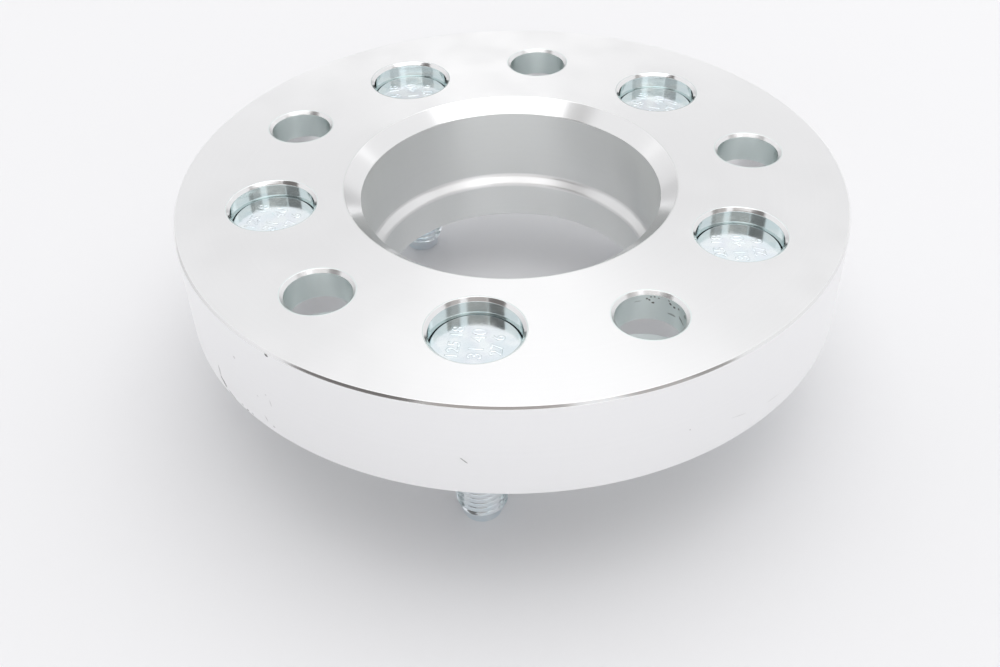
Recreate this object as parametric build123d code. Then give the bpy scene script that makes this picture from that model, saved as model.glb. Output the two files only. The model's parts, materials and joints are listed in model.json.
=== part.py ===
from build123d import *
from math import cos, radians, sin, tan
import os

# Bolt-on wheel spacer that also changes the bolt circle: a turned aluminium disc
# which bolts to the hub through five conical nut seats, and five studs pressed in
# from the hub side which carry the wheel.
# Millimetres, +Z up. The origin is the centre of the hub face, the upper face here.
# The wheel face, the centring lip and the threaded studs point down.

# Disc
disc_thickness = 25.0
rim_wall = 5.0
hub_rim_chamfer = 0.5
wheel_rim_chamfer = 1.0

# Centre bore, over the hub's spigot
hub_bore_diameter = 72.6
hub_bore_chamfer_width = 3.8
hub_bore_chamfer_depth = 3.2
bore_end_web = 3.5
bore_taper_height = 3.3

# Centring lip, into the wheel's centre hole
lip_diameter = 72.6
lip_wall = 2.3
lip_height = 9.0
lip_lead_chamfer = 1.5
lip_bore_chamfer = 0.5

# Both patterns of five, half a pitch apart, with the first stud at the front
lug_count = 5
first_stud_angle = -90.0
bolt_circle_diameter = 120.0
stud_circle_diameter = 114.3

# Bolt holes: a short land under the hub face, a conical nut seat, an open nut pocket
bolt_hole_diameter = 14.8
bolt_hole_land = 7.3
bolt_hole_chamfer = 0.75
nut_seat_diameter = 24.5
nut_seat_angle = 60.0
nut_pocket_diameter = 30.0
nut_pocket_edge_break = 0.3

# Stud head and the recess that hides it below the hub face
head_diameter = 19.5
head_thickness = 5.0
head_setback = 4.0
head_edge_chamfer = 0.4
head_side_clearance = 0.25
recess_chamfer = 0.75

# Knurled shoulder, pressed into the stud hole with its crests on the hole's wall
stud_hole_diameter = 14.2
stud_hole_chamfer = 0.6
knurl_setback = 4.0
knurl_lead = 0.8
knurl_groove_count = 24
knurl_groove_depth = 0.4
knurl_groove_angle = 90.0

# Plain neck inside the disc, at the size of the blank that the thread is rolled on
neck_diameter = 11.0

# Threaded shank, M12 x 1.5 at its crest size, and the plain pilot at its tip
thread_diameter = 12.0
stud_reach = 30.0
thread_end_taper = 1.2
pilot_diameter = 9.2
pilot_length = 3.0
pilot_edge_chamfer = 0.5

# How far a cutting shape runs past the face that it opens through
cut_overrun = 1.0

# Radii and heights that follow from the sizes above
disc_radius = bolt_circle_diameter / 2 + nut_pocket_diameter / 2 + rim_wall
hub_bore_radius = hub_bore_diameter / 2
lip_radius = lip_diameter / 2
lip_bore_radius = lip_radius - lip_wall
wheel_face_z = -disc_thickness
lip_end_z = wheel_face_z - lip_height
bore_end_z = wheel_face_z + bore_end_web
head_seat_z = -(head_setback + head_thickness)
stud_web = disc_thickness - head_setback - head_thickness
lug_pitch = 360.0 / lug_count


def turned(outline):
    """Solid of revolution about Z from a closed outline of (radius, z) points."""
    section = make_face(Plane.XZ * Polyline(*outline, close=True))
    return revolve(section, Axis.Z)


def around(circle_diameter, first_angle):
    """Places of one pattern of lugs on its circle, at the height of the hub face."""
    return PolarLocations(circle_diameter / 2, lug_count, start_angle=first_angle)


def disc_blank():
    """The disc with its stepped centre bore and centring lip, before any lug hole."""
    return turned([
        (hub_bore_radius + hub_bore_chamfer_width, 0),
        (disc_radius - hub_rim_chamfer, 0),
        (disc_radius, -hub_rim_chamfer),
        (disc_radius, wheel_face_z + wheel_rim_chamfer),
        (disc_radius - wheel_rim_chamfer, wheel_face_z),
        (lip_radius, wheel_face_z),
        (lip_radius, lip_end_z + lip_lead_chamfer),
        (lip_radius - lip_lead_chamfer, lip_end_z),
        (lip_bore_radius + lip_bore_chamfer, lip_end_z),
        (lip_bore_radius, lip_end_z + lip_bore_chamfer),
        (lip_bore_radius, bore_end_z - bore_taper_height),
        (hub_bore_radius, bore_end_z),
        (hub_bore_radius, -hub_bore_chamfer_depth),
    ])


def bolt_hole_cut():
    """Chamfered land, conical nut seat and nut pocket of one bolt hole."""
    hole_radius = bolt_hole_diameter / 2
    seat_radius = nut_seat_diameter / 2
    pocket_radius = nut_pocket_diameter / 2
    seat_height = (seat_radius - hole_radius) / tan(radians(nut_seat_angle / 2))
    pocket_floor_z = -bolt_hole_land - seat_height
    return turned([
        (0, cut_overrun),
        (hole_radius + bolt_hole_chamfer + cut_overrun, cut_overrun),
        (hole_radius, -bolt_hole_chamfer),
        (hole_radius, -bolt_hole_land),
        (seat_radius, pocket_floor_z),
        (pocket_radius, pocket_floor_z),
        (pocket_radius, wheel_face_z + nut_pocket_edge_break),
        (pocket_radius + nut_pocket_edge_break + cut_overrun, wheel_face_z - cut_overrun),
        (0, wheel_face_z - cut_overrun),
    ])


def stud_hole_cut():
    """Head recess, press hole and wheel-side edge break of one stud hole."""
    recess_radius = head_diameter / 2 + head_side_clearance
    hole_radius = stud_hole_diameter / 2
    return turned([
        (0, cut_overrun),
        (recess_radius + recess_chamfer + cut_overrun, cut_overrun),
        (recess_radius, -recess_chamfer),
        (recess_radius, head_seat_z),
        (hole_radius, head_seat_z),
        (hole_radius, wheel_face_z + stud_hole_chamfer),
        (hole_radius + stud_hole_chamfer + cut_overrun, wheel_face_z - cut_overrun),
        (0, wheel_face_z - cut_overrun),
    ])


def spacer_body():
    """The whole disc, turned and then drilled on its two circles."""
    body = disc_blank()
    body -= around(bolt_circle_diameter, first_stud_angle + lug_pitch / 2) * bolt_hole_cut()
    body -= around(stud_circle_diameter, first_stud_angle) * stud_hole_cut()
    return body


def stud_blank():
    """One stud as turned, before knurling, with z = 0 under its head and its tip down."""
    head_radius = head_diameter / 2
    knurl_radius = stud_hole_diameter / 2
    neck_radius = neck_diameter / 2
    thread_radius = thread_diameter / 2
    pilot_radius = pilot_diameter / 2
    knurl_end_z = -(stud_web - knurl_setback)
    tip_z = -(stud_web + stud_reach)
    return turned([
        (0, head_thickness),
        (head_radius - head_edge_chamfer, head_thickness),
        (head_radius, head_thickness - head_edge_chamfer),
        (head_radius, 0),
        (knurl_radius, 0),
        (knurl_radius, knurl_end_z + knurl_lead),
        (neck_radius, knurl_end_z),
        (neck_radius, -stud_web),
        (thread_radius, -stud_web),
        (thread_radius, tip_z + pilot_length + thread_end_taper),
        (pilot_radius, tip_z + pilot_length),
        (pilot_radius, tip_z + pilot_edge_chamfer),
        (pilot_radius - pilot_edge_chamfer, tip_z),
        (0, tip_z),
    ])


def knurl_groove():
    """Straight V groove along the shoulder, on the +X side of the stud."""
    crest_radius = stud_hole_diameter / 2
    mouth_radius = crest_radius + knurl_groove_depth
    half_mouth = 2 * knurl_groove_depth * tan(radians(knurl_groove_angle / 2))
    outline = Polyline(
        (crest_radius - knurl_groove_depth, 0),
        (mouth_radius, half_mouth),
        (mouth_radius, -half_mouth),
        close=True,
    )
    return extrude(make_face(outline), amount=-(stud_web - knurl_setback))


def wheel_stud():
    """One knurled stud in its own frame."""
    return stud_blank() - PolarLocations(0, knurl_groove_count) * knurl_groove()


def build():
    """Every piece in its place, by node name."""
    pieces = {"spacer_body": spacer_body()}
    stud = wheel_stud()
    for number in range(lug_count):
        angle = first_stud_angle + number * lug_pitch
        x = stud_circle_diameter / 2 * cos(radians(angle))
        y = stud_circle_diameter / 2 * sin(radians(angle))
        place = Pos(x, y, head_seat_z) * Rot(0, 0, angle)
        pieces[f"wheel_stud_{number + 1}"] = place * stud
    return pieces


os.makedirs("parts", exist_ok=True)
for name, piece in build().items():
    export_step(piece, f"parts/{name}.step")
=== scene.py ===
import json
from math import ceil, cos, floor, radians, sin, tan, tau

import bmesh
import bpy
from mathutils import Matrix, Vector
from mathutils.geometry import tessellate_polygon


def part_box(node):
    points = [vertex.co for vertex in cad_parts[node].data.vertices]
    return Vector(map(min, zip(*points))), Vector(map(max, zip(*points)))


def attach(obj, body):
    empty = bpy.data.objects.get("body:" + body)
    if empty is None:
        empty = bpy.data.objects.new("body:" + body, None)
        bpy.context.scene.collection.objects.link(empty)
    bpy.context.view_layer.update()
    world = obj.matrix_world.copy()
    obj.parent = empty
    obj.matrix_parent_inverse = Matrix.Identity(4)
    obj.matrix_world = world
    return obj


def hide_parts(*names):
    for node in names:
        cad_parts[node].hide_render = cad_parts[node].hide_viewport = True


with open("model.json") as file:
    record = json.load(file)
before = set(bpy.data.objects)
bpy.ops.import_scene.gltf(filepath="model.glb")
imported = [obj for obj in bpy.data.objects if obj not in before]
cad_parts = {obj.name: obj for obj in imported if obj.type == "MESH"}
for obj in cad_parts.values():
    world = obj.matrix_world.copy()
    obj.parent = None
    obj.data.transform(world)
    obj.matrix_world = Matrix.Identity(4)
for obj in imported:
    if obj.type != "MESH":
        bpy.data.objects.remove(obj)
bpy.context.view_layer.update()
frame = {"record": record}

# Lengths are in millimetres, and every mesh is scaled to metres as it is made.
mm = 0.001
plain_white = (1, 1, 1, 1)
no_tint = (1, 1, 1, 1)

# Sizes that the frame gives
mounts = {mount["name"]: mount for mount in frame["record"]["mounts"]}
body_low, body_high = [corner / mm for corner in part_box("spacer_body")]
stud_low, stud_high = [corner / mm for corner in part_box("wheel_stud_1")]
disc_radius = body_high.x
wheel_face_z = mounts["wheel_face"]["pos_m"][2] / mm
lip_end_z = body_low.z
hub_bore_radius = mounts["hub_bore"]["dims"]["r_mm"]
lip_radius = mounts["centring_lip"]["dims"]["r_mm"]
bolt_circle_radius = mounts["hub_bolts"]["dims"]["pcd_mm"] / 2
bolt_hole_radius = mounts["hub_bolts"]["dims"]["hole_r_mm"]
stud_circle_radius = mounts["wheel_studs"]["dims"]["pcd_mm"] / 2
thread_radius = mounts["wheel_studs"]["dims"]["stud_r_mm"]
lug_count = mounts["wheel_studs"]["dims"]["count"]
head_radius = (stud_high.x - stud_low.x) / 2
head_top_z = stud_high.z
stud_tip_z = stud_low.z
first_stud_angle = -90.0
lug_pitch = 360.0 / lug_count

# Edges and steps of the disc
hub_rim_chamfer = 0.5
wheel_rim_chamfer = 1.0
hub_bore_chamfer_width = 3.8
hub_bore_chamfer_depth = 3.2
bore_end_web = 3.5
bore_taper_height = 3.3
taper_slope = 50.0
taper_ease = 1.45
lip_wall = 2.3
lip_lead_chamfer = 1.5
lip_bore_chamfer = 0.5
bolt_hole_land = 7.3
bolt_hole_chamfer = 0.75
nut_seat_radius = 12.25
nut_seat_angle = 60.0
nut_pocket_radius = 15.0
nut_pocket_edge_break = 0.3
head_thickness = 5.0
head_side_clearance = 0.14
recess_chamfer = 0.75
stud_hole_radius = 7.1
stud_hole_chamfer = 0.6

# Studs
head_edge_chamfer = 0.4
knurl_setback = 4.0
knurl_lead = 0.8
knurl_groove_count = 24
knurl_groove_depth = 0.4
neck_radius = 5.5
thread_pitch = 1.5
thread_depth = 0.92
thread_crest = 1 / 16
thread_root = 3 / 8
thread_crest_round = 0.03
thread_root_round = 0.1
thread_fade = 2.0
thread_end_taper = 1.2
pilot_radius = 4.6
pilot_length = 3.0
pilot_edge_chamfer = 0.5

# Fineness of the meshes: how far edges are eased, in how many steps, and the columns round
edge_ease = 0.12
corner_ease = 0.3
ease_steps = 3
broad_ease_steps = 9
guard_width = 0.2
guard_share = 0.4
flat_margin = 0.6
lip_foot_margin = 0.8
stud_margin = 1.0
shoulder_margin = 0.2
slope_share = 0.2
level_limit = 1e-6
weld_distance = 1e-7
sharp_angle = 40
rim_columns = 384
bore_columns = 288
hole_columns = 96

head_seat_z = head_top_z - head_thickness
knurl_end_z = wheel_face_z + knurl_setback
lip_bore_radius = lip_radius - lip_wall
bore_end_z = wheel_face_z + bore_end_web


def eased(outline):
    """Rounds the corners of an open outline of (radius, z, ease) points.

    The metal lies on the right of the outline. On either side of a rounded corner one
    more point guards the straight stretch, so that its shading stays flat.
    """
    points = [Vector(point[:2]) for point in outline]
    eases = [point[2] if len(point) > 2 else edge_ease for point in outline]
    result = [points[0]]
    for before, corner, after, ease in zip(points, points[1:], points[2:], eases[1:]):
        toward = (corner - before).normalized()
        away = (after - corner).normalized()
        turn = toward.angle_signed(away)
        setback = ease * tan(abs(turn) / 2)
        start = corner - toward * setback
        end = corner + away * setback
        side = Vector((-toward.y, toward.x)) * (-1 if turn > 0 else 1)
        centre = start + side * ease
        guard_before = min(guard_width, (start - before).length * guard_share)
        guard_after = min(guard_width, (after - end).length * guard_share)
        result.append(start - toward * guard_before)
        steps = broad_ease_steps if ease == taper_ease else ease_steps
        for step in range(steps + 1):
            arm = start - centre
            arm.rotate(Matrix.Rotation(-turn * step / steps, 2))
            result.append(centre + arm)
        result.append(end + away * guard_after)
    result.append(points[-1])
    return result


class MeshMaker:
    """Collects turned surfaces and the flats between them, each face with its finish."""

    def __init__(self):
        self.points = []
        self.faces = []
        self.lay = []
        self.finishes = []

    def turned(self, centre, outline, columns, finish, slope_finishes):
        """Turns an outline about a vertical axis and gives its first and last ring."""
        rings = []
        lengths = [0.0]
        for before, point in zip(outline, outline[1:]):
            lengths.append(lengths[-1] + (point - before).length)
        for radius, z in outline:
            rings.append(range(len(self.points), len(self.points) + columns))
            for column in range(columns):
                angle = tau * column / columns
                x = centre[0] + radius * cos(angle)
                y = centre[1] + radius * sin(angle)
                self.points.append((x, y, z))
        for row in range(len(rings) - 1):
            upper, lower = rings[row], rings[row + 1]
            v0, v1 = lengths[row] * mm, lengths[row + 1] * mm
            row_finish = self.row_finish(outline[row], outline[row + 1], finish, slope_finishes)
            for column in range(columns):
                beside = (column + 1) % columns
                u0, u1 = column / columns, (column + 1) / columns
                self.faces.append((upper[column], lower[column], lower[beside], upper[beside]))
                self.lay.append(((u0, v0), (u0, v1), (u1, v1), (u1, v0)))
                self.finishes.append(row_finish)
        return rings[0], rings[-1]

    def row_finish(self, start, end, finish, slope_finishes):
        """Finish of one row: that of the disc's faces on them, or by how steep the row is.

        Slopes have one finish in the upper half of the disc and another in its lower half.
        """
        run = end - start
        if abs(run.y) < level_limit and start.y == 0:
            return "hub_face"
        if abs(run.y) < level_limit and start.y == wheel_face_z:
            return "wheel_face"
        if min(abs(run.x), abs(run.y)) < slope_share * run.length:
            return finish
        return slope_finishes[0] if start.y > wheel_face_z / 2 else slope_finishes[1]

    def flat(self, rings, finish, up):
        """Fills the level space between an outer ring and the rings inside it."""
        order = [index for ring in rings for index in ring]
        loops = [[Vector(self.points[index]) for index in ring] for ring in rings]
        for corners in tessellate_polygon(loops):
            a, b, c = [order[corner] for corner in corners]
            pa, pb, pc = [Vector(self.points[index]) for index in (a, b, c)]
            if ((pb - pa).cross(pc - pa).z > 0) != up:
                b, c = c, b
            self.faces.append((a, b, c))
            self.lay.append([(self.points[i][0] * mm, self.points[i][1] * mm) for i in (a, b, c)])
            self.finishes.append(finish)

    def build(self, name, materials):
        """The finished object, in metres, with one material for each finish."""
        mesh = bpy.data.meshes.new(name)
        mesh.from_pydata([Vector(point) * mm for point in self.points], [], self.faces)
        lay_map = mesh.uv_layers.new(name="lay")
        corners = [value for face in self.lay for corner in face for value in corner]
        lay_map.data.foreach_set("uv", corners)
        names = list(materials)
        for material in materials.values():
            mesh.materials.append(material)
        mesh.polygons.foreach_set("material_index", [names.index(f) for f in self.finishes])
        mesh.polygons.foreach_set("use_smooth", [True] * len(mesh.polygons))
        piece = bpy.data.objects.new(name, mesh)
        bpy.context.scene.collection.objects.link(piece)
        return piece


def lug_centre(circle_radius, angle):
    """Centre of one lug hole on its circle."""
    return circle_radius * cos(radians(angle)), circle_radius * sin(radians(angle))


def spacer_disc(materials):
    """The disc, with its stepped bore, lip, bolt holes and stud holes.

    The bore's step is a cone whose broad roundings take up the rest of its height.
    """
    maker = MeshMaker()
    taper_middle_z = bore_end_z - bore_taper_height / 2
    taper_cone_height = (hub_bore_radius - lip_bore_radius) / tan(radians(taper_slope))
    rim = eased([
        (disc_radius - hub_rim_chamfer - flat_margin, 0),
        (disc_radius - hub_rim_chamfer, 0),
        (disc_radius, -hub_rim_chamfer),
        (disc_radius, wheel_face_z + wheel_rim_chamfer),
        (disc_radius - wheel_rim_chamfer, wheel_face_z),
        (disc_radius - wheel_rim_chamfer - flat_margin, wheel_face_z),
    ])
    bore = eased([
        (lip_radius + lip_foot_margin, wheel_face_z),
        (lip_radius, wheel_face_z, corner_ease),
        (lip_radius, lip_end_z + lip_lead_chamfer),
        (lip_radius - lip_lead_chamfer, lip_end_z),
        (lip_bore_radius + lip_bore_chamfer, lip_end_z),
        (lip_bore_radius, lip_end_z + lip_bore_chamfer),
        (lip_bore_radius, taper_middle_z - taper_cone_height / 2, taper_ease),
        (hub_bore_radius, taper_middle_z + taper_cone_height / 2, taper_ease),
        (hub_bore_radius, -hub_bore_chamfer_depth),
        (hub_bore_radius + hub_bore_chamfer_width, 0),
        (hub_bore_radius + hub_bore_chamfer_width + flat_margin, 0),
    ])
    seat_height = (nut_seat_radius - bolt_hole_radius) / tan(radians(nut_seat_angle / 2))
    pocket_floor_z = -bolt_hole_land - seat_height
    bolt_hole = eased([
        (nut_pocket_radius + nut_pocket_edge_break + flat_margin, wheel_face_z),
        (nut_pocket_radius + nut_pocket_edge_break, wheel_face_z),
        (nut_pocket_radius, wheel_face_z + nut_pocket_edge_break),
        (nut_pocket_radius, pocket_floor_z, corner_ease),
        (nut_seat_radius, pocket_floor_z),
        (bolt_hole_radius, -bolt_hole_land, corner_ease),
        (bolt_hole_radius, -bolt_hole_chamfer),
        (bolt_hole_radius + bolt_hole_chamfer, 0),
        (bolt_hole_radius + bolt_hole_chamfer + flat_margin, 0),
    ])
    recess_radius = head_radius + head_side_clearance
    stud_hole = eased([
        (stud_hole_radius + stud_hole_chamfer + flat_margin, wheel_face_z),
        (stud_hole_radius + stud_hole_chamfer, wheel_face_z),
        (stud_hole_radius, wheel_face_z + stud_hole_chamfer),
        (stud_hole_radius, head_seat_z),
        (recess_radius, head_seat_z),
        (recess_radius, -recess_chamfer),
        (recess_radius + recess_chamfer, 0),
        (recess_radius + recess_chamfer + flat_margin, 0),
    ])
    hub_rings = []
    wheel_rings = []
    first, last = maker.turned((0, 0), rim, rim_columns, "rim", ("chamfers", "chamfers"))
    hub_rings.append(first)
    wheel_rings.append(last)
    first, last = maker.turned((0, 0), bore, bore_columns, "bore", ("bore_chamfer", "bore_step"))
    wheel_rings.append(first)
    hub_rings.append(last)
    for number in range(lug_count):
        stud_angle = first_stud_angle + lug_pitch * number
        bolt_angle = stud_angle + lug_pitch / 2
        for outline, radius, angle, finish, slope in (
            (bolt_hole, bolt_circle_radius, bolt_angle, "holes", "seats"),
            (stud_hole, stud_circle_radius, stud_angle, "recesses", "chamfers"),
        ):
            centre = lug_centre(radius, angle)
            first, last = maker.turned(centre, outline, hole_columns, finish, (slope, slope))
            wheel_rings.append(first)
            hub_rings.append(last)
    maker.flat(hub_rings, "hub_face", up=True)
    maker.flat(wheel_rings, "wheel_face", up=False)
    return maker.build("spacer_disc", materials)


def thread_cut(phase):
    """Depth of the thread at a phase from 0 to 1 of its pitch, with the crest at 0.

    The crest and the root are a little crowned, and the flank between them is straight.
    """
    across = min(phase, 1 - phase)
    if across < thread_crest:
        return thread_crest_round * across / thread_crest
    if across < thread_root:
        flank_depth = thread_depth - thread_crest_round - thread_root_round
        return thread_crest_round + flank_depth * (across - thread_crest) / (thread_root - thread_crest)
    return thread_depth - thread_root_round * (1 / 2 - across) / (1 / 2 - thread_root)


def thread_surface_radius(angle, z):
    """Radius of the threaded shank at one angle and height."""
    phase = (z / thread_pitch - angle / tau) % 1.0
    grown = min(max((wheel_face_z - z) / thread_fade, 0), 1)
    rolled = neck_radius + (thread_radius - thread_cut(phase) - neck_radius) * grown
    below_taper = stud_tip_z + pilot_length
    taper = pilot_radius + (thread_radius - pilot_radius) * (z - below_taper) / thread_end_taper
    return min(rolled, taper)


def stud_columns():
    """Angles round a stud, with three of them on each groove of the knurl."""
    half_mouth = knurl_groove_depth / stud_hole_radius
    pitch = tau / knurl_groove_count
    land = pitch - 2 * half_mouth
    angles = []
    for groove in range(knurl_groove_count):
        start = groove * pitch
        angles += [start, start + half_mouth]
        angles += [start + half_mouth + land * part for part in (0.25, 0.5, 0.75, 1)]
    return angles


def stud_mesh():
    """One stud about its own axis: head, knurl, thread and pilot, in metres.

    The thread's rows climb one pitch on their way round, so where the last column meets
    the first, it joins the rows of the turn above.
    """
    angles = stud_columns()
    groove_floor = stud_hole_radius - knurl_groove_depth
    columns_each = len(angles) // knurl_groove_count
    crest_radii = [
        groove_floor if column % columns_each == 0 else stud_hole_radius
        for column in range(len(angles))
    ]
    rows = []

    def level(radius, z):
        rows.append([(radius, z)] * len(angles))

    def knurled(z):
        limit = neck_radius + (stud_hole_radius - neck_radius) * (z - knurl_end_z) / knurl_lead
        rows.append([(min(crest, limit), z) for crest in crest_radii])

    head = eased([
        (head_radius - head_edge_chamfer - stud_margin, head_top_z),
        (head_radius - head_edge_chamfer, head_top_z),
        (head_radius, head_top_z - head_edge_chamfer),
        (head_radius, head_seat_z),
        (stud_hole_radius + shoulder_margin, head_seat_z),
    ])
    for radius, z in head:
        level(radius, z)
    knurled(head_seat_z)
    knurled(knurl_end_z + knurl_lead)
    groove_share = (groove_floor - neck_radius) / (stud_hole_radius - neck_radius)
    knurled(knurl_end_z + knurl_lead * groove_share)
    level(neck_radius, knurl_end_z)
    thread_low_z = stud_tip_z + pilot_length
    falling = [0, thread_crest, (thread_crest + thread_root) / 2, thread_root, 1 / 2]
    phases = falling + [1 - phase for phase in reversed(falling[1:-1])]
    turns = ceil((wheel_face_z - thread_low_z) / thread_pitch) + 2
    top_turn = floor(wheel_face_z / thread_pitch) + 1
    first_thread_row = len(rows)
    for turn in range(turns):
        for phase in phases:
            row = []
            for angle in angles:
                z = (top_turn - turn - phase + angle / tau) * thread_pitch
                z = min(max(z, thread_low_z), wheel_face_z)
                row.append((thread_surface_radius(angle, z), z))
            rows.append(row)
    last_thread_row = len(rows) - 1
    pilot = eased([
        (pilot_radius, thread_low_z),
        (pilot_radius, stud_tip_z + pilot_edge_chamfer),
        (pilot_radius - pilot_edge_chamfer, stud_tip_z),
        (pilot_radius - pilot_edge_chamfer - stud_margin, stud_tip_z),
    ])
    for radius, z in pilot:
        level(radius, z)

    shape = bmesh.new()
    grid = []
    for row in rows:
        ring = []
        for angle, (radius, z) in zip(angles, row):
            ring.append(shape.verts.new(Vector((radius * cos(angle), radius * sin(angle), z)) * mm))
        grid.append(ring)
    count = len(angles)
    for row in range(len(rows) - 1):
        threaded = first_thread_row <= row < last_thread_row
        for column in range(count):
            beside = (column + 1) % count
            shift = len(phases) if threaded and beside == 0 else 0
            upper = max(row - shift, first_thread_row) if shift else row
            lower = max(row + 1 - shift, first_thread_row) if shift else row + 1
            here = (grid[row][column], grid[row + 1][column])
            corners = list(dict.fromkeys((*here, grid[lower][beside], grid[upper][beside])))
            if len(corners) > 2:
                shape.faces.new(corners)
    for ring, z in ((grid[0], head_top_z), (list(reversed(grid[-1])), stud_tip_z)):
        middle = shape.verts.new(Vector((0, 0, z)) * mm)
        for column in range(count):
            shape.faces.new((ring[column], ring[(column + 1) % count], middle))
    bmesh.ops.remove_doubles(shape, verts=shape.verts, dist=weld_distance)
    mesh = bpy.data.meshes.new("stud")
    shape.to_mesh(mesh)
    shape.free()
    mesh.polygons.foreach_set("use_smooth", [True] * len(mesh.polygons))
    mesh.set_sharp_from_angle(angle=radians(sharp_angle))
    return mesh


def add_numbers(shape, columns):
    """Joins the raised numbers of one head to a stud, each column read along Y."""
    for words, offset, height in columns:
        letters = bpy.data.curves.new("numbers", "FONT")
        letters.body = words
        letters.size = height / digit_share
        letters.align_x = "CENTER"
        letters.align_y = "CENTER"
        letters.offset = -number_edge / 4
        letters.bevel_depth = number_edge
        letters.bevel_resolution = number_steps
        letters.resolution_u = number_steps
        carrier = bpy.data.objects.new("numbers", letters)
        bpy.context.scene.collection.objects.link(carrier)
        drawn = carrier.evaluated_get(bpy.context.evaluated_depsgraph_get())
        mesh = bpy.data.meshes.new_from_object(drawn)
        sunk = Matrix.Translation(Vector((offset, 0, head_top_z + number_rise - number_edge)))
        place = sunk @ Matrix.Rotation(radians(90), 4, "Z")
        mesh.transform(Matrix.Scale(mm, 4) @ place)
        shape.from_mesh(mesh)
        bpy.data.objects.remove(carrier)
        bpy.data.meshes.remove(mesh)


def wheel_stud(number, blank, columns, turn, material):
    """One stud in its place, turned like the CAD's stud, with its own numbers."""
    angle = first_stud_angle + lug_pitch * number
    x, y = lug_centre(stud_circle_radius, angle)
    shape = bmesh.new()
    add_numbers(shape, columns)
    to_turn = Matrix.Rotation(radians(turn - angle), 4, "Z")
    bmesh.ops.transform(shape, matrix=to_turn, verts=shape.verts)
    bmesh.ops.remove_doubles(shape, verts=shape.verts, dist=weld_distance)
    bmesh.ops.recalc_face_normals(shape, faces=shape.faces)
    shape.from_mesh(blank)
    mesh = bpy.data.meshes.new(f"stud_{number + 1}")
    shape.to_mesh(mesh)
    shape.free()
    mesh.polygons.foreach_set("use_smooth", [True] * len(mesh.polygons))
    mesh.set_sharp_from_angle(angle=radians(sharp_angle))
    mesh.materials.append(material)
    stud = bpy.data.objects.new(f"stud_{number + 1}", mesh)
    to_place = Matrix.Translation(Vector((x, y, 0)) * mm)
    stud.matrix_world = to_place @ Matrix.Rotation(radians(angle), 4, "Z")
    bpy.context.scene.collection.objects.link(stud)
    return stud


def add(tree, kind, inputs=None, **settings):
    """Adds a node, sets or links its inputs by name or number, and gives its output in use."""
    node = tree.nodes.new(kind)
    for name, value in settings.items():
        setattr(node, name, value)
    for key, value in (inputs or {}).items():
        if isinstance(key, int):
            socket = node.inputs[key]
        else:
            socket = next(entry for entry in node.inputs if entry.enabled and entry.name == key)
        if isinstance(value, bpy.types.NodeSocket):
            tree.links.new(value, socket)
        else:
            socket.default_value = value
    return next(entry for entry in node.outputs if entry.enabled)


def calc(tree, operation, *values):
    """A Math node on sockets or numbers."""
    return add(tree, "ShaderNodeMath", dict(enumerate(values)), operation=operation)


def smooth_step(tree, value, start, end, low=0.0, high=1.0):
    """Runs smoothly from low to high as the value goes from start to end."""
    inputs = {"Value": value, "From Min": start, "From Max": end, "To Min": low, "To Max": high}
    return add(tree, "ShaderNodeMapRange", inputs, interpolation_type="SMOOTHSTEP")


def band(tree, value, low, high, soft):
    """1 between two values and 0 outside them, with soft ends."""
    rising = smooth_step(tree, value, low - soft, low + soft)
    falling = smooth_step(tree, value, high + soft, high - soft)
    return calc(tree, "MULTIPLY", rising, falling)


def blend(tree, share, first, second):
    """Mixes two colours."""
    return add(tree, "ShaderNodeMix", {"Factor": share, "A": first, "B": second}, data_type="RGBA")


def wall_mark(centre, radius, angle, z, length, width, lean, strength):
    """Place, turn, half sizes and strength of a mark on a round upright wall, leaning from level."""
    outward = Vector((cos(radians(angle)), sin(radians(angle)), 0))
    level = Vector((-outward.y, outward.x, 0))
    along = level * cos(radians(lean)) + Vector((0, 0, sin(radians(lean))))
    place = Vector((*centre, z)) + outward * radius
    turn = Matrix((along, outward.cross(along), outward)).transposed().to_euler()
    return place, turn, Vector((length, width, width)) / 2, strength


def mark_mask(tree, position, marks):
    """Each mark's strength on it, with ragged edges, and 0 elsewhere."""
    ragged_inputs = {"Vector": position, "Scale": ragged_scale, "Detail": 3.0}
    ragged = add(tree, "ShaderNodeTexNoise", ragged_inputs)
    mask = 0.0
    for place, turn, half, strength in marks:
        inputs = {"Vector": position, "Location": place * mm, "Rotation": turn, "Scale": half * mm}
        local = add(tree, "ShaderNodeMapping", inputs, vector_type="TEXTURE")
        distance = add(tree, "ShaderNodeVectorMath", {0: local}, operation="LENGTH")
        wander = calc(tree, "SUBTRACT", ragged, 0.5)
        uneven = calc(tree, "MULTIPLY_ADD", wander, mark_raggedness, distance)
        mark = smooth_step(tree, uneven, *mark_fade, 0.0, strength)
        mask = calc(tree, "MAXIMUM", mask, mark)
    return mask


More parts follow.
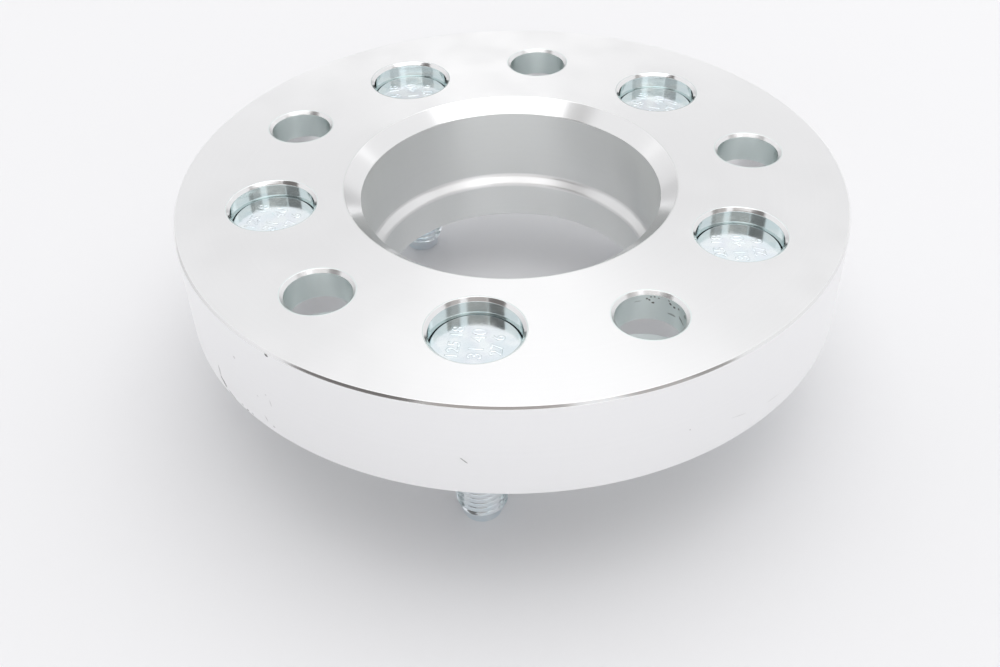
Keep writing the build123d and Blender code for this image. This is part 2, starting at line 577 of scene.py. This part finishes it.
def turned_aluminium(name, across, roughness, stretch, line_depth, marks=(), tint=no_tint):
    """Machined aluminium, whose fine lines follow each other along the radius or the profile."""
    material = bpy.data.materials.new(name)
    material.use_nodes = True
    tree = material.node_tree
    shader = tree.nodes["Principled BSDF"]
    shader.inputs["Metallic"].default_value = 1.0
    shader.inputs["Anisotropic"].default_value = stretch
    shader.inputs["Anisotropic Rotation"].default_value = 0.25
    position = tree.nodes.new("ShaderNodeTexCoord").outputs["Object"]
    if across == "radius":
        tangent = add(tree, "ShaderNodeTangent", direction_type="RADIAL", axis="Z")
        level = add(tree, "ShaderNodeVectorMath", {0: position, 1: (1, 1, 0)}, operation="MULTIPLY")
        measure = add(tree, "ShaderNodeVectorMath", {0: level}, operation="LENGTH")
    else:
        tangent = add(tree, "ShaderNodeTangent", direction_type="UV_MAP", uv_map="lay")
        lay = add(tree, "ShaderNodeUVMap", uv_map="lay")
        measure = add(tree, "ShaderNodeSeparateXYZ", {0: lay}).node.outputs["Y"]
    tree.links.new(tangent, shader.inputs["Tangent"])

    line_inputs = {"W": measure, "Scale": 1 / (line_pitch * mm), "Detail": 2.0, "Roughness": 0.6}
    lines = add(tree, "ShaderNodeTexNoise", line_inputs, noise_dimensions="1D")
    cloud_inputs = {"Vector": position, "Scale": cloud_scale, "Detail": 4.0}
    clouds = add(tree, "ShaderNodeTexNoise", cloud_inputs)
    cloud_tone = calc(tree, "MULTIPLY", clouds, 1 - line_share)
    tone = calc(tree, "MULTIPLY_ADD", lines, line_share, cloud_tone)
    color = blend(tree, tone, bare_shade, bare_light)
    # The tint multiplies painted shade and painted reflections into the inner walls' colour
    color = add(tree, "ShaderNodeMix", {"Factor": 1.0, "A": color, "B": tint},
                data_type="RGBA", blend_type="MULTIPLY")
    smoothest = roughness * (1 - roughness_swing)
    roughest = roughness * (1 + roughness_swing)
    rough = smooth_step(tree, clouds, 0.3, 0.7, smoothest, roughest)
    height = calc(tree, "MULTIPLY", lines, line_depth)
    if marks:
        mask = mark_mask(tree, position, marks)
        color = blend(tree, mask, color, worn_color)
        rough = calc(tree, "MULTIPLY_ADD", mask, mark_roughness, rough)
        height = calc(tree, "MULTIPLY_ADD", mask, -mark_depth, height)
    tree.links.new(color, shader.inputs["Base Color"])
    tree.links.new(rough, shader.inputs["Roughness"])
    bump = add(tree, "ShaderNodeBump", {"Height": height, "Distance": mm})
    tree.links.new(bump, shader.inputs["Normal"])
    return material


def zinc_plate():
    """Clear blue zinc on cold-headed steel: soft lumps, and a tint that wanders a little."""
    material = bpy.data.materials.new("blue_zinc")
    material.use_nodes = True
    tree = material.node_tree
    shader = tree.nodes["Principled BSDF"]
    shader.inputs["Metallic"].default_value = 1.0
    position = tree.nodes.new("ShaderNodeTexCoord").outputs["Object"]
    patch_inputs = {"Vector": position, "Scale": zinc_lump_scale, "Detail": 2.0}
    patches = add(tree, "ShaderNodeTexNoise", patch_inputs)
    tint_inputs = {"Vector": position, "Scale": zinc_tint_scale, "Detail": 1.0}
    tint = add(tree, "ShaderNodeTexNoise", tint_inputs)
    cool = blend(tree, smooth_step(tree, tint, 0.35, 0.65), zinc_blue, zinc_lilac)
    color = blend(tree, smooth_step(tree, patches, 0.35, 0.7), cool, zinc_pale)
    tree.links.new(color, shader.inputs["Base Color"])
    rough = smooth_step(tree, patches, 0.3, 0.7, *zinc_roughness)
    tree.links.new(rough, shader.inputs["Roughness"])
    height = calc(tree, "MULTIPLY", patches, zinc_lump_height)
    bump = add(tree, "ShaderNodeBump", {"Height": height, "Distance": mm})
    tree.links.new(bump, shader.inputs["Normal"])
    return material


def studio_world():
    """Soft white light from all round, with darker openings on the camera's side."""
    world = bpy.data.worlds.new("studio")
    bpy.context.scene.world = world
    world.use_nodes = True
    tree = world.node_tree
    direction = tree.nodes.new("ShaderNodeTexCoord").outputs["Generated"]
    turn = (0, 0, -radians(view_azimuth))
    facing = add(tree, "ShaderNodeMapping", {"Vector": direction, "Rotation": turn})
    parts = add(tree, "ShaderNodeSeparateXYZ", {0: facing}).node.outputs
    toward_camera = calc(tree, "MULTIPLY", parts["Y"], -1.0)
    azimuth = calc(tree, "DEGREES", calc(tree, "ARCTAN2", parts["X"], toward_camera))
    elevation = calc(tree, "DEGREES", calc(tree, "ARCSINE", parts["Z"]))

    light = blend(tree, smooth_step(tree, elevation, *wall_rise), wall_foot, wall_top)
    above = calc(tree, "MAXIMUM", parts["Z"], least_rise)
    aside = calc(tree, "DIVIDE", parts["X"], above)
    ahead = calc(tree, "DIVIDE", toward_camera, above)
    sideways = band(tree, aside, *softbox_across, softbox_soft)
    lengthways = band(tree, ahead, *softbox_along, softbox_soft)
    light = blend(tree, calc(tree, "MULTIPLY", sideways, lengthways), light, studio_softbox)
    for left, right, low, high, soft, shade in studio_patches:
        across = band(tree, azimuth, left, right, soft)
        upright = band(tree, elevation, low, high, patch_edge_soft)
        light = blend(tree, calc(tree, "MULTIPLY", across, upright), light, shade)
    seen = tree.nodes.new("ShaderNodeLightPath").outputs["Is Camera Ray"]
    light = blend(tree, seen, light, plain_white)
    tree.links.new(light, tree.nodes["Background"].inputs["Color"])


def add_lamp():
    """A broad weak light overhead, a little behind and to the right, for the floor."""
    lamp = bpy.data.lights.new("overhead", "AREA")
    lamp.shape = "DISK"
    lamp.size = lamp_size
    lamp.energy = lamp_power
    carrier = bpy.data.objects.new("overhead", lamp)
    carrier.location = lamp_place
    carrier.rotation_euler = (-Vector(lamp_place)).to_track_quat("-Z", "Y").to_euler()
    carrier.visible_glossy = False
    bpy.context.scene.collection.objects.link(carrier)


def add_floor():
    """A pale floor at the stud tips, which turns into plain white far from the part."""
    mesh = bpy.data.meshes.new("floor")
    signs = [(-1, -1), (1, -1), (1, 1), (-1, 1)]
    corners = [(x * floor_reach, y * floor_reach, stud_tip_z * mm) for x, y in signs]
    mesh.from_pydata(corners, [], [(0, 1, 2, 3)])
    ground = bpy.data.objects.new("floor", mesh)
    bpy.context.scene.collection.objects.link(ground)
    material = bpy.data.materials.new("pale_floor")
    material.use_nodes = True
    mesh.materials.append(material)
    tree = material.node_tree
    cloth = tree.nodes["Principled BSDF"]
    cloth.inputs["Base Color"].default_value = floor_color
    cloth.inputs["Roughness"].default_value = floor_roughness
    cloth.inputs["Specular IOR Level"].default_value = floor_gloss
    position = tree.nodes.new("ShaderNodeTexCoord").outputs["Object"]
    level = add(tree, "ShaderNodeVectorMath", {0: position, 1: (1, 1, 0)}, operation="MULTIPLY")
    distance = add(tree, "ShaderNodeVectorMath", {0: level}, operation="LENGTH")
    far = smooth_step(tree, distance, *floor_fade)
    rays = tree.nodes.new("ShaderNodeLightPath").outputs
    seen = calc(tree, "MAXIMUM", rays["Is Camera Ray"], rays["Is Glossy Ray"])
    seen = calc(tree, "MAXIMUM", seen, rays["Is Transmission Ray"])
    white = add(tree, "ShaderNodeEmission", {"Color": plain_white, "Strength": 1.0})
    share = calc(tree, "MULTIPLY", far, seen)
    surface = add(tree, "ShaderNodeMixShader", {0: share, 1: cloth.outputs[0], 2: white})
    tree.links.new(surface, tree.nodes["Material Output"].inputs["Surface"])


def add_camera():
    """The photograph's view, from its fitted angles, distance and framing."""
    azimuth, elevation, roll = (radians(a) for a in (view_azimuth, view_elevation, view_roll))
    back = Vector((sin(azimuth) * cos(elevation), -cos(azimuth) * cos(elevation), sin(elevation)))
    level_right = Vector((cos(azimuth), sin(azimuth), 0))
    level_up = back.cross(level_right)
    right = level_right * cos(roll) + level_up * sin(roll)
    up = level_up * cos(roll) - level_right * sin(roll)
    place = back * view_distance - right * view_shift[0] - up * view_shift[1]
    lens = bpy.data.cameras.new("camera")
    lens.sensor_width = sensor_width
    lens.lens = focal_length
    lens.clip_start = nearest_seen
    camera = bpy.data.objects.new("camera", lens)
    axes = Matrix((right, up, back)).transposed().to_4x4()
    camera.matrix_world = Matrix.Translation(place * mm) @ axes
    bpy.context.scene.collection.objects.link(camera)
    bpy.context.scene.camera = camera


# Colours of the metals, at their palest and deepest, and the painted shade and painted reflections of the
# disc's inner walls
bare_light = (0.935, 0.935, 0.94, 1)
bare_shade = (0.90, 0.90, 0.905, 1)
# Painted shade in the bore: its walls made darker and grey-green, standing in for the shade and
# reflections there
bore_painted_shade = (0.91, 0.925, 0.915, 1)
# Painted reflection in the stud recesses: a darker teal-grey cast for the blue zinc heads mirrored in
# their walls, with painted shade
recess_painted_reflection = (0.85, 0.915, 0.90, 1)
# Painted reflection in the bolt holes: a teal cast on their walls
hole_painted_reflection = (0.91, 0.985, 0.97, 1)
worn_color = (0.13, 0.125, 0.12, 1)
zinc_blue = (0.80, 0.88, 0.92, 1)
zinc_lilac = (0.83, 0.87, 0.92, 1)
zinc_pale = (0.88, 0.93, 0.95, 1)

# Grain of the metals: noise scales per metre, heights in millimetres
cloud_scale = 70.0
roughness_swing = 0.12
line_pitch = 0.9
line_share = 0.4
zinc_lump_scale = 330.0
zinc_lump_height = 0.02
zinc_tint_scale = 170.0
zinc_roughness = (0.12, 0.2)

# Marks of use on a round wall: angle about its axis, height, length, width, lean from
# level and strength. A mark fades out between two multiples of its half size.
ragged_scale = 1800.0
mark_raggedness = 1.2
mark_fade = (1.1, 0.55)
mark_depth = 0.05
mark_roughness = 0.25
rim_marks = [
    (-120.6, -0.9, 1.1, 0.8, 0, 0.85),
    (-129.7, -8.9, 1.0, 0.8, 0, 0.25),
    (-56.0, -14.8, 0.35, 0.35, 0, 0.5),
    (-89.5, -14.8, 2.2, 0.3, -44, 0.6),
    (-137.0, -19.8, 4.4, 1.0, -86, 0.35),
    (-136.2, -22.2, 4.0, 1.0, -36, 0.65),
    (-133.8, -23.6, 4.4, 0.6, -10, 0.45),
    (-130.4, -23.4, 1.0, 0.5, 0, 0.3),
    (-129.0, -23.7, 1.3, 0.6, 10, 0.45),
    (-127.6, -23.5, 0.9, 0.5, 0, 0.35),
    (-125.0, -15.8, 0.6, 0.5, 0, 0.2),
    (-122.7, -13.6, 0.7, 0.5, 0, 0.2),
    (-121.9, -15.4, 2.2, 0.35, -80, 0.25),
    (-123.8, -21.5, 1.6, 0.4, -60, 0.35),
    (-122.2, -22.5, 0.8, 0.5, 0, 0.3),
    (-46.5, -17.7, 5.0, 0.2, -14, 0.2),
    (-38.5, -19.7, 5.0, 0.2, -4, 0.2),
]
bolt_hole_marks = [
    (97.0, -1.8, 0.55, 0.45, 0, 1.0),
    (93.0, -2.1, 0.6, 0.4, 30, 1.0),
    (90.5, -1.3, 0.5, 0.35, 0, 0.8),
    (86.8, -2.8, 0.7, 0.5, 0, 1.0),
    (84.5, -1.2, 0.5, 0.4, 20, 0.9),
    (77.5, -1.4, 0.5, 0.35, 0, 0.7),
    (112.0, -2.3, 2.0, 0.3, 0, 0.4),
    (60.0, -1.3, 0.6, 0.45, 0, 0.8),
    (56.5, -1.9, 0.8, 0.5, 30, 1.0),
    (48.5, -2.3, 0.8, 0.5, -20, 1.0),
    (38.0, -1.9, 0.6, 0.5, 0, 0.8),
    (52.0, -4.5, 2.8, 0.5, -6, 0.5),
    (27.0, -4.1, 3.0, 0.6, 20, 0.6),
    (15.0, -1.7, 2.2, 0.9, -30, 0.5),
]

# Raised numbers of the stud heads: text, offset across the head, height of the digits.
# Each stud's head is turned in its own way.
number_rise = 0.12
number_edge = 0.22
number_steps = 3
digit_share = 0.7
head_numbers = [("125 18", -4.3, 2.6), ("31 40", 0.4, 3.0), ("27 6", 4.6, 2.6)]
head_turns = [0, 8, -12, 20, -6]

# The studio, by level of light: walls that darken towards their foot, and a softbox above,
# whose reach is given by its tangents. On the walls lie patches, paler or darker, given by
# their sides and edges in degrees, with 0 towards the camera and 180 behind the part, and
# by how softly their sides fade: pale and grey panels behind, a reflector low in front,
# and dark openings above it.
wall_foot = (0.68, 0.68, 0.685, 1)
wall_top = (0.88, 0.88, 0.885, 1)
wall_rise = (-2, 30)
studio_softbox = (1.55, 1.55, 1.55, 1)
softbox_across = (-0.46, 0.6)
softbox_along = (-0.54, 0.62)
softbox_soft = 0.05
least_rise = 0.01
patch_edge_soft = 1.0
studio_patches = [
    (126, 148, 28, 45, 3.0, (1.1, 1.1, 1.105, 1)),
    (-148, -126, 28, 45, 3.0, (1.0, 1.0, 1.005, 1)),
    (148, 170, 31, 45, 3.0, (0.975, 0.975, 0.98, 1)),
    (170, 190, 31, 45, 3.0, (0.93, 0.93, 0.935, 1)),
    (-190, -170, 31, 45, 3.0, (0.93, 0.93, 0.935, 1)),
    (-170, -148, 31, 45, 3.0, (0.965, 0.965, 0.97, 1)),
    (150, 168, -8, 12, 5.0, (0.6, 0.6, 0.605, 1)),
    (-168, -150, -8, 12, 5.0, (0.65, 0.65, 0.655, 1)),
    (148, 190, 45, 62, 3.0, (1.28, 1.28, 1.285, 1)),
    (-190, -148, 45, 62, 3.0, (1.28, 1.28, 1.285, 1)),
    (166, 190, -5, 28, 6.0, (0.6, 0.6, 0.605, 1)),
    (-190, -166, -5, 28, 6.0, (0.6, 0.6, 0.605, 1)),
    (30, 150, -8, 22, 8.0, (0.86, 0.86, 0.865, 1)),
    (-35, 40, 4, 26, 3.0, (1.6, 1.6, 1.6, 1)),
    (-88, -62, 54, 64, 3.0, (0.68, 0.68, 0.68, 1)),
    (-32, 19, 28, 57, 2.0, (0.4, 0.375, 0.36, 1)),
    (-76, -34, 28, 57, 2.0, (0.17, 0.16, 0.155, 1)),
    (37, 58, 28, 54, 2.0, (0.46, 0.44, 0.43, 1)),
    (58, 73, 28, 52, 2.0, (0.34, 0.33, 0.32, 1)),
]

# The lamp and the floor, in metres and watts. The floor fades to white between two radii.
lamp_size = 1.6
lamp_power = 2.0
lamp_place = (0.45, 0.35, 1.1)
floor_reach = 4.0
floor_fade = (0.5, 1.6)
floor_color = (0.86, 0.86, 0.875, 1)
floor_roughness = 0.9
floor_gloss = 0.1

# Fitted to the photograph: degrees, and millimetres from the hub face's centre
view_azimuth = 8.524
view_elevation = 40.322
view_roll = -1.409
view_distance = 276.093
view_shift = (2.510, 37.724)
focal_length = 41.16
sensor_width = 36.0
nearest_seen = 0.01

worn_hole = lug_centre(bolt_circle_radius, first_stud_angle + lug_pitch / 2)
worn_rim = [wall_mark((0, 0), disc_radius, *mark) for mark in rim_marks]
worn_wall = [wall_mark(worn_hole, bolt_hole_radius, *mark) for mark in bolt_hole_marks]

# Finishes of the disc: what their lines follow, roughness, how far gloss is stretched across
# the lines, depth of the lines in millimetres, marks and tint, where the tint paints shade and reflections
materials = {
    "hub_face": turned_aluminium("faced_aluminium", "radius", 0.42, 0.82, 0.0003),
    "rim": turned_aluminium("turned_aluminium", "profile", 0.33, 0.6, 0.0004, worn_rim),
    "chamfers": turned_aluminium("chamfered_aluminium", "profile", 0.14, 0.3, 0.0001),
    "seats": turned_aluminium("seat_aluminium", "profile", 0.24, 0.9, 0.0002),
    "bore": turned_aluminium("bored_aluminium", "profile", 0.42, 0.85, 0.0003, (), bore_painted_shade),
    "bore_chamfer": turned_aluminium("bore_chamfer_aluminium", "profile", 0.15, 0.4, 0.0002),
    "bore_step": turned_aluminium("bore_step_aluminium", "profile", 0.34, 0.75, 0.0003),
    "recesses": turned_aluminium("counterbored_aluminium", "profile", 0.12, 0.6, 0.0001, (), recess_painted_reflection),
    "holes": turned_aluminium("drilled_aluminium", "profile", 0.33, 0.88, 0.0004, worn_wall, hole_painted_reflection),
    "wheel_face": turned_aluminium("fine_faced_aluminium", "radius", 0.22, 0.6, 0.0003),
}
disc = spacer_disc(materials)
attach(disc, "root")
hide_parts("spacer_body")
zinc = zinc_plate()
blank = stud_mesh()
for number in range(lug_count):
    stud = wheel_stud(number, blank, head_numbers, head_turns[number], zinc)
    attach(stud, "root")
    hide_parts(f"wheel_stud_{number + 1}")

add_floor()
studio_world()
add_lamp()
add_camera()
bpy.context.scene.view_settings.view_transform = "Standard"
